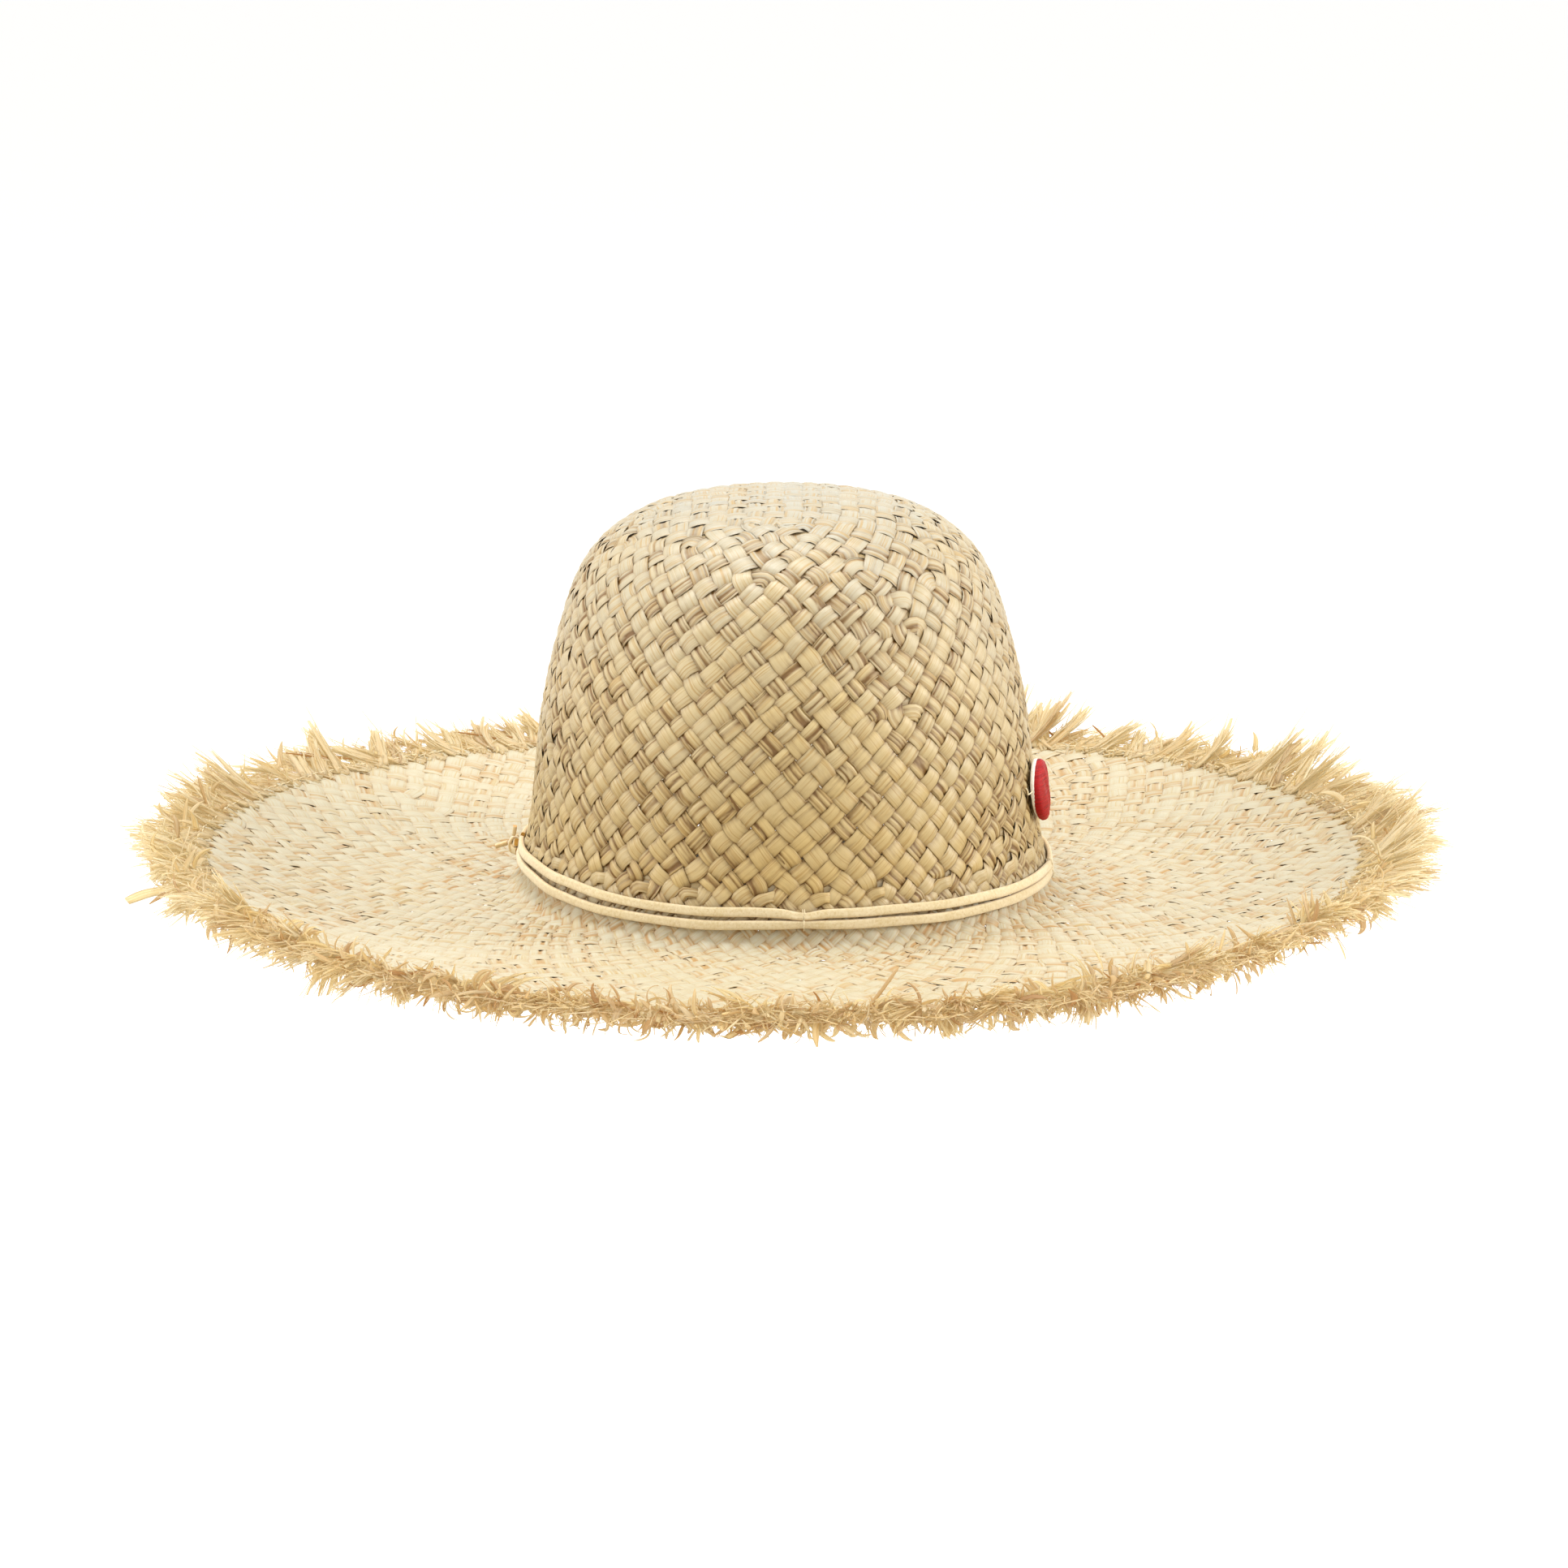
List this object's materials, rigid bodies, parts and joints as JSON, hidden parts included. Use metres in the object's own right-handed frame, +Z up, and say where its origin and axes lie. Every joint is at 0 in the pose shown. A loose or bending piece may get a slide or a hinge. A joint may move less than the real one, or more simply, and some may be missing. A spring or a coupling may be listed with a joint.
{
  "type": "straw sun hat",
  "caption": "Woven raffia sun hat with a domed crown, a wide frayed brim, a doubled suede hatband knotted at one side and a small padded badge.",
  "frame": {"origin": "on the ground under the middle of the hat: the centre of its bounding box in X and Y, at the flat foot of the brim", "axes": "+Z up through the tip of the crown, -Y out of the hat's front, +X out of the wearer's left side, where the badge is"},
  "size_m": [0.453, 0.4726, 0.1354],
  "materials": {
    "raffia": "woven raffia, satin",
    "raffia_pale": "woven raffia, satin",
    "raffia_gold": "loose raffia fibres",
    "thread": "spun thread",
    "suede": "napped suede",
    "badge_backing": "plain weave",
    "felt": "felt",
    "red_satin": "satin stitch",
    "cotton": "ribbed cotton ribbon",
    "label": "satin ribbon"
  },
  "bodies": {
    "hat": {"crown_weave": "raffia", "brim_weave": "raffia_pale", "frayed_edge": "raffia_gold", "edge_lock_stitch": "thread", "hatband_lower_turn": "suede", "hatband_upper_turn": "suede", "hatband_knot": "suede", "band_tack_front": "thread", "band_tack_left": "thread", "band_tack_back": "thread", "badge_backing": "badge_backing", "badge_felt": "felt", "badge_pad": "red_satin", "badge_stitch": "thread", "sweatband": "cotton", "sweatband_stitching": "thread", "sweatband_join_tape": "cotton", "blank_label": "label"},
    "tail_upper": {"knot_tail_upper": "suede"},
    "tail_lower": {"knot_tail_lower": "suede"}
  },
  "joints": [
    {"name": "upper_tail_bend", "type": "hinge", "parent": "hat", "child": "tail_upper", "pos_m": [-0.09215, -0.002, 0.0179], "axis": [0, -1, 0], "range_deg": [0, 75]},
    {"name": "lower_tail_bend", "type": "hinge", "parent": "hat", "child": "tail_lower", "pos_m": [-0.095, 0.002, 0.0137], "axis": [0, 1, 0], "range_deg": [-15, 75]}
  ]
}
